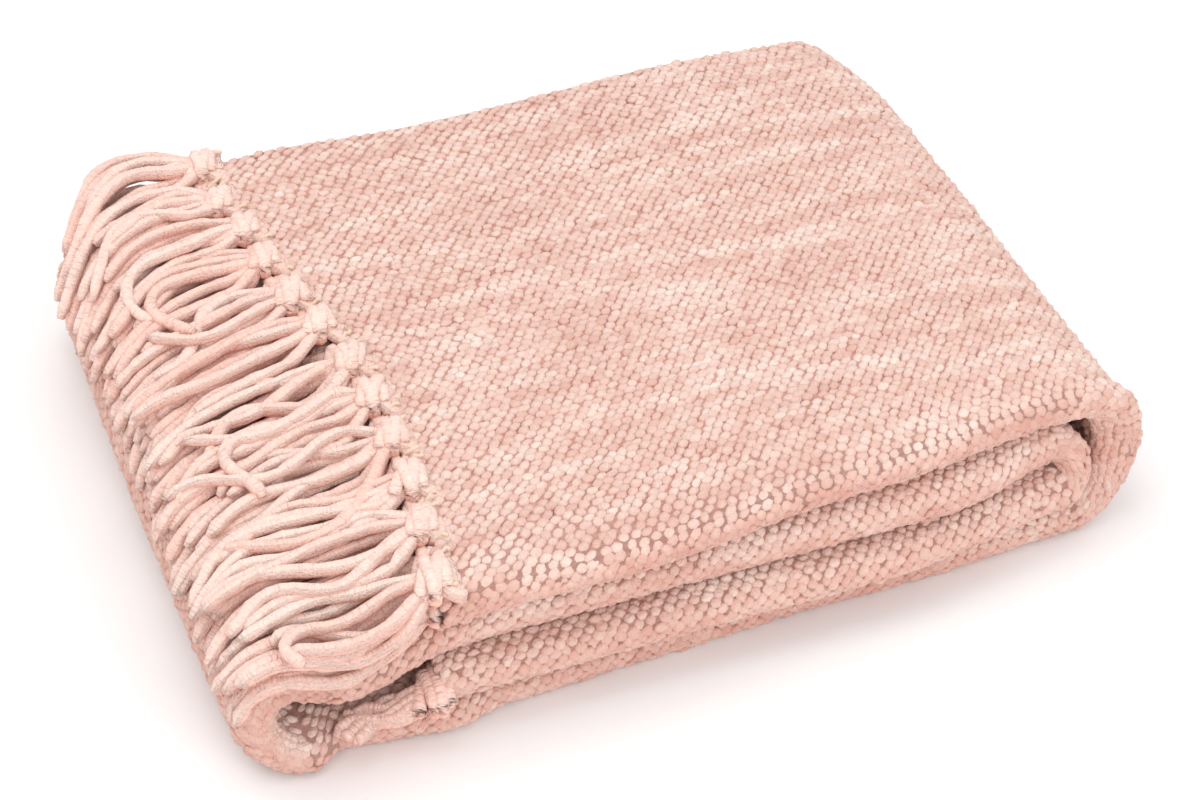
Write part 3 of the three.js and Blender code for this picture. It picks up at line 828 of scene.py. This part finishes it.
cream_thread = bpy.data.materials.new("cream binding thread")
cream_thread.use_nodes = True
cream_shader = cream_thread.node_tree.nodes["Principled BSDF"]
cream_shader.inputs["Base Color"].default_value = (0.8, 0.62, 0.48, 1)
cream_shader.inputs["Roughness"].default_value = 0.7
cream_shader.inputs["Specular IOR Level"].default_value = 0.3
thread_points = swept(threads, np.full(threads.shape[:2], THREAD), thread_form, 0.00005)
thread_tints = np.ones((len(threads), len(thread_form), 4))
thread_uvs = yarn_places(threads, thread_form)
binding = joined_mesh(
    "binding_threads", thread_points, thread_corners, thread_uvs, thread_tints, cream_thread)
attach(binding, "root")

# THE FRINGE OF THE INSIDE END
# The second short end lies inside the left turn, pressed flat, with the same knots and yarn ends. Its first
# knot looks out at the front, between the second layer and the bottom one.
INSIDE_FRINGE = 0.056
INSIDE_START = 0.004
INSIDE_WRAP_AT = 0.007
INSIDE_WRAP_PITCH = 0.005
INSIDE_WRAP_WIDE = 0.0055  # half sizes
INSIDE_WRAP_TALL = 0.0012
PRESSED_WRAP_YARN = 0.0026
INSIDE_TASSELS = range(1, TASSELS_PER_PANEL - 1)
FRONT_KNOT = {"x": 0.089, "y": 0.007, "z": 0.0335, "size": 1.35, "strands": 7, "length": 0.05}
inside_lines = []
inside_wraps = []
share = np.linspace(0, 1, STRAND_RINGS)
angle = np.linspace(0, 2 * math.pi, WRAP_RINGS)
for sheet in (-1, 0, 1):
    z = LAYERS["third"]["z"] + sheet * SHEET_PITCH
    for i in INSIDE_TASSELS:
        y = (i + 0.5) * TASSEL_PITCH
        for side in (-1, 1):
            length = INSIDE_FRINGE * dice.uniform(0.85, 1)
            x = INSIDE_END_X - INSIDE_START - share * (length + 0.006)
            across = y + side * (0.003 + 0.006 * share) + dice.normal(0, 0.001) * share
            inside_lines.append(np.stack([x, across, np.full_like(x, z)], -1))
        for k in range(2):
            x = INSIDE_END_X - INSIDE_WRAP_AT - INSIDE_WRAP_PITCH * k
            x = x + 0.3 * INSIDE_WRAP_PITCH * np.cos(angle)
            across = y + INSIDE_WRAP_WIDE * np.cos(angle)
            inside_wraps.append(np.stack([x, across, z + INSIDE_WRAP_TALL * np.sin(angle)], -1))
inside_wraps.extend(knot_lines(FRONT_KNOT["x"], FRONT_KNOT["y"], FRONT_KNOT["z"], FRONT_KNOT["size"]))
for k in range(FRONT_KNOT["strands"]):
    x = FRONT_KNOT["x"] - 0.006 - share * FRONT_KNOT["length"] * dice.uniform(0.6, 1)
    turn = dice.uniform(0, 6.28)
    across = FRONT_KNOT["y"] + 0.006 * np.cos(k * 2.4) + 0.004 * np.sin(9 * share + turn) * share
    height = FRONT_KNOT["z"] - 0.002 + 0.006 * np.sin(k * 2.4) + 0.003 * np.cos(9 * share + turn) * share
    inside_lines.append(np.stack([x, across, height - 0.006 * share], -1))

inside_lines = on_end(np.array(inside_lines), "third", INSIDE_END_X)
inside_radii = np.full(inside_lines.shape[:2], YARN)
inside_strands = yarn_piece(
    "inside_fringe_strands", inside_lines, inside_radii, dice.normal(0.5, 0.1, len(inside_lines)),
    strand_form, strand_corners)
inside_wraps = on_end(np.array(inside_wraps), "third", INSIDE_END_X)
wrap_radii = np.full(inside_wraps.shape[:2], PRESSED_WRAP_YARN)
wrap_radii[-len(KNOT_WRAPS):] = WRAP_YARN
yarn_piece(
    "inside_fringe_knots", inside_wraps, wrap_radii, dice.normal(0.5, 0.06, len(inside_wraps)),
    wrap_form, wrap_corners)
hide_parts("inside_fringe_outer", "inside_fringe_middle", "inside_fringe_under")

# THE STUDIO
# A plain pale floor, soft light from above and from the front, and the camera at the photograph's angle.
FLOOR_HALF = 6
floor_mesh = bpy.data.meshes.new("floor")
floor_form = bmesh.new()
bmesh.ops.create_grid(floor_form, x_segments=1, y_segments=1, size=FLOOR_HALF)
floor_form.to_mesh(floor_mesh)
floor_form.free()
floor = bpy.data.objects.new("floor", floor_mesh)
bpy.context.collection.objects.link(floor)
paper = bpy.data.materials.new("pale paper")
paper.use_nodes = True
paper.node_tree.nodes["Principled BSDF"].inputs["Base Color"].default_value = (0.9, 0.9, 0.9, 1)
paper.node_tree.nodes["Principled BSDF"].inputs["Roughness"].default_value = 0.9
floor_mesh.materials.append(paper)


def soft_light(name, place, size, power):
    light = bpy.data.lights.new(name, "AREA")
    light.shape = "SQUARE"
    light.size = size
    light.energy = power
    lamp = bpy.data.objects.new(name, light)
    lamp.location = place
    lamp.rotation_mode = "QUATERNION"
    lamp.rotation_quaternion = (-Vector(place)).to_track_quat("-Z", "Y")
    bpy.context.collection.objects.link(lamp)


soft_light("overhead", (-0.6, 0.3, 2.2), 1.8, 18)
soft_light("front", (0.3, -2.2, 1.4), 1.8, 20)
world = bpy.data.worlds.new("studio")
world.use_nodes = True
world.node_tree.nodes["Background"].inputs["Color"].default_value = (1, 1, 1, 1)
world.node_tree.nodes["Background"].inputs["Strength"].default_value = 0.9
bpy.context.scene.world = world
bpy.context.scene.view_settings.view_transform = "Standard"

CAMERA_PLACE = Vector((ORIGIN_X - 0.221214, ORIGIN_Y - 1.047666, 1.142122))
CAMERA_TARGET = Vector((ORIGIN_X + 0.249401, ORIGIN_Y + 0.178329, 0.0402))
view = bpy.data.cameras.new("camera")
view.lens = 90
view.sensor_width = 36
view.clip_start = 0.05
camera = bpy.data.objects.new("camera", view)
camera.location = CAMERA_PLACE
camera.rotation_mode = "QUATERNION"
camera.rotation_quaternion = (CAMERA_TARGET - CAMERA_PLACE).to_track_quat("-Z", "Y")
bpy.context.collection.objects.link(camera)
bpy.context.scene.camera = camera
